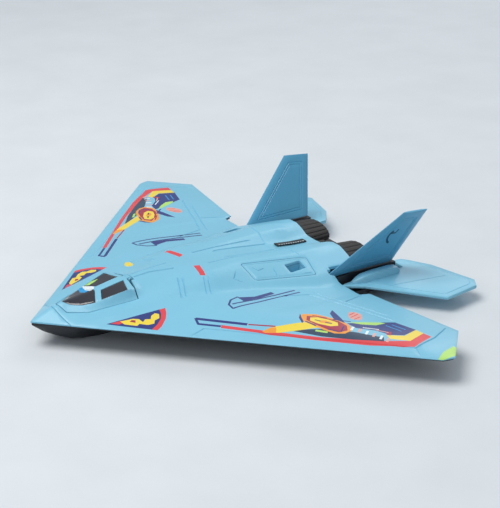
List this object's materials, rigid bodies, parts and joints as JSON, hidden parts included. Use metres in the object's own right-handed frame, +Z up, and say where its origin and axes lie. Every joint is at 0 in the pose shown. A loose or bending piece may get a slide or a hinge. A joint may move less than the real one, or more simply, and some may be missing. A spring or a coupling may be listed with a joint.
{
  "type": "toy jet glider",
  "caption": "Moulded toy jet glider: arrowhead wing, leaning fins, turning stabilizers, opening smoked canopy and a flat black belly.",
  "frame": {"origin": "centre of the glider's box at the level it stands on", "axes": "+X to the port wing tip, -Y to the nose, +Z up"},
  "size_m": [0.303, 0.2344, 0.0504],
  "materials": {
    "hull_blue": "satin moulded plastic",
    "belly_black": "satin moulded plastic",
    "window_smoke": "polished smoked plastic",
    "nozzle_charcoal": "rough moulded plastic",
    "cockpit_grey": "matt moulded plastic",
    "steel": "plain steel"
  },
  "bodies": {
    "airframe": {"upper_hull": "hull_blue", "nose_cap": "hull_blue", "left_fin": "hull_blue", "right_fin": "hull_blue", "left_dorsal_panel": "hull_blue", "right_dorsal_panel": "hull_blue", "left_socket_cup": "hull_blue", "right_socket_cup": "hull_blue", "lower_hull": "belly_black", "tail_deck": "belly_black", "hinge_bracket": "belly_black", "control_stick": "belly_black", "spine_vent": "belly_black", "left_nozzle": "nozzle_charcoal", "right_nozzle": "nozzle_charcoal", "nozzle_bridge": "nozzle_charcoal", "cockpit_tub": "cockpit_grey", "pilot_seat": "cockpit_grey", "instrument_panel": "cockpit_grey", "canopy_hinge_pin": "steel", "nose_weight": "steel", "left_stabilizer_pin": "steel", "right_stabilizer_pin": "steel", "left_inner_screw": "steel", "left_outer_screw": "steel", "left_tail_screw": "steel", "right_inner_screw": "steel", "right_outer_screw": "steel", "right_tail_screw": "steel"},
    "canopy": {"canopy_frame": "hull_blue", "canopy_glazing": "window_smoke"},
    "stabilizer_left": {"left_stabilizer": "hull_blue"},
    "stabilizer_right": {"right_stabilizer": "hull_blue"}
  },
  "joints": [
    {"name": "canopy_hinge", "type": "hinge", "parent": "airframe", "child": "canopy", "pos_m": [0, -0.05975, 0.02487], "axis": [-1, 0, 0], "range_deg": [0, 55]},
    {"name": "left_stabilizer_pivot", "type": "hinge", "parent": "airframe", "child": "stabilizer_left", "pos_m": [0.0456, 0.07185, 0.0108], "axis": [1, 0, 0], "range_deg": [-5, 5]},
    {"name": "right_stabilizer_pivot", "type": "hinge", "parent": "airframe", "child": "stabilizer_right", "pos_m": [-0.0456, 0.07185, 0.0108], "axis": [1, 0, 0], "range_deg": [-5, 5]}
  ]
}
